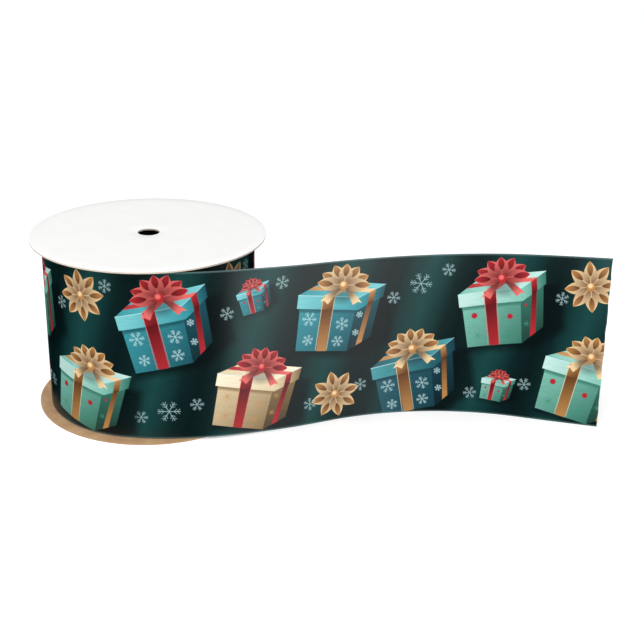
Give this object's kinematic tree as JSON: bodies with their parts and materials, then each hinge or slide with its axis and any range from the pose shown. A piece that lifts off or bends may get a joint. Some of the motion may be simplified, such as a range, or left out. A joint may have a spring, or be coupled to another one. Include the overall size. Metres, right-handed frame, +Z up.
{
  "type": "ribbon spool",
  "caption": "Ribbon spool: two round paperboard flanges on a hollow core, wound with wide printed satin ribbon whose loose end stands on edge and unwinds about the axis.",
  "frame": {"origin": "centre of the spindle hole at the lower flange's outside face, which rests on the table", "axes": "+Z up along the spool's axis; +X the way the loose end of the ribbon runs; -Y the front, where the ribbon leaves the roll"},
  "size_m": [0.2558, 0.104, 0.0788],
  "materials": {
    "face_paper": "matte white",
    "kraft_board": "matte kraft",
    "core_board": "matte kraft",
    "hot_melt": "translucent",
    "tape": "clear film",
    "printed_satin": "satin, printed"
  },
  "bodies": {
    "spool": {"lower_face_paper": "face_paper", "lower_flange_board": "kraft_board", "upper_flange_board": "kraft_board", "upper_face_paper": "face_paper", "core_outer_liner": "core_board", "core_fluting": "core_board", "core_inner_liner": "core_board", "lower_glue_ring": "hot_melt", "upper_glue_ring": "hot_melt", "start_tape": "tape", "wound_ribbon": "printed_satin"},
    "ribbon_end": {"outer_turn": "printed_satin", "ribbon_tail": "printed_satin"}
  },
  "joints": [
    {"name": "ribbon_unwind", "type": "hinge", "parent": "spool", "child": "ribbon_end", "pos_m": [0, 0, 0], "axis": [0, 0, 1], "continuous": true}
  ]
}
